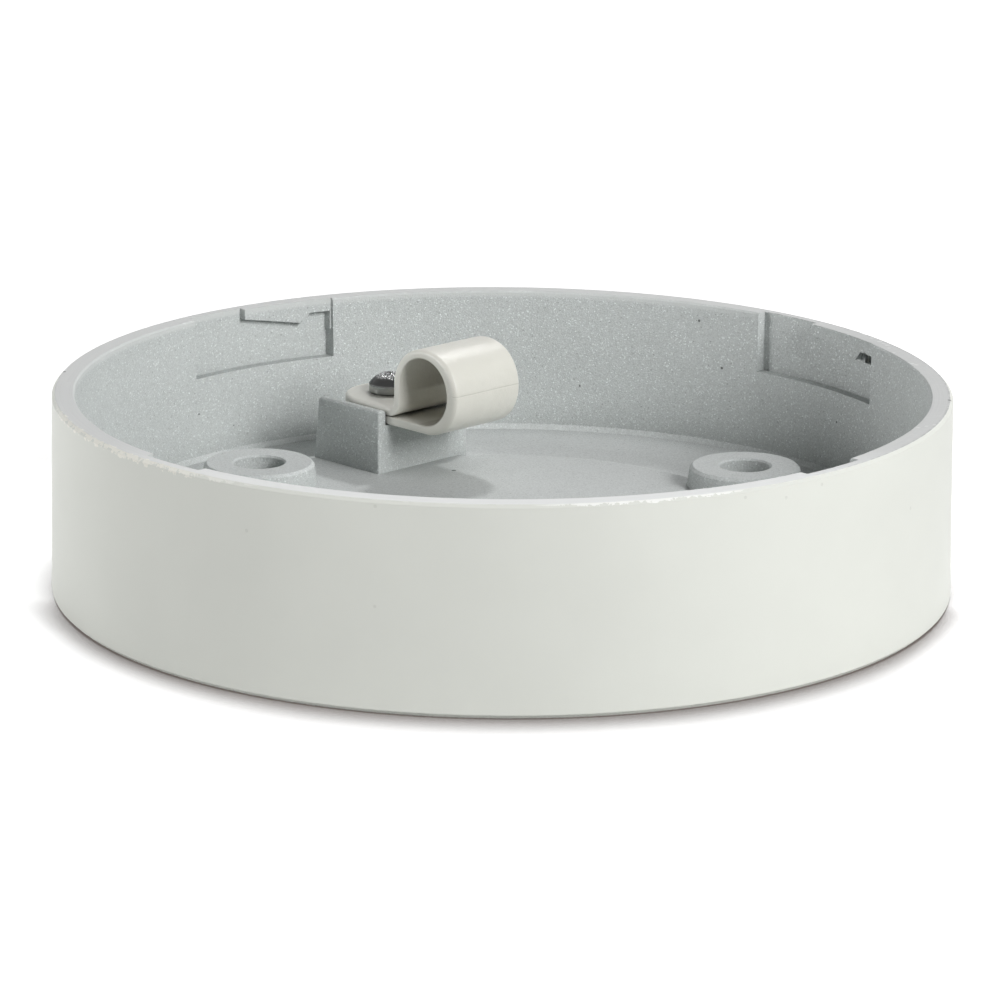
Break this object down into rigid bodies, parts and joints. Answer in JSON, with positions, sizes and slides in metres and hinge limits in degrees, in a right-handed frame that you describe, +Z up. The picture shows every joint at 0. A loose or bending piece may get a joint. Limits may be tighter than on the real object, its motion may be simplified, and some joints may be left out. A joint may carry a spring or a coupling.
{
  "type": "beacon mounting base",
  "caption": "Round die-cast mounting base for a signal beacon: open cup with bayonet recesses, fixing bosses and a cable clip screwed to a block on its floor.",
  "frame": {"origin": "centre of the underside, on the plane that stands on the mounting surface", "axes": "+Z up out of the open side, along the axis of the cup; +Y to the back, away from the viewer of the picture; +X to the right"},
  "size_m": [0.121, 0.121, 0.027],
  "materials": {
    "cast_body": "satin light grey paint outside, fine blasted silver-grey inside",
    "clip_nylon": "glossy natural nylon",
    "screw_steel": "bright dark plated steel"
  },
  "bodies": {
    "root": {"base_casting": "cast_body", "cable_clip": "clip_nylon", "clip_screw": "screw_steel"}
  },
  "joints": []
}
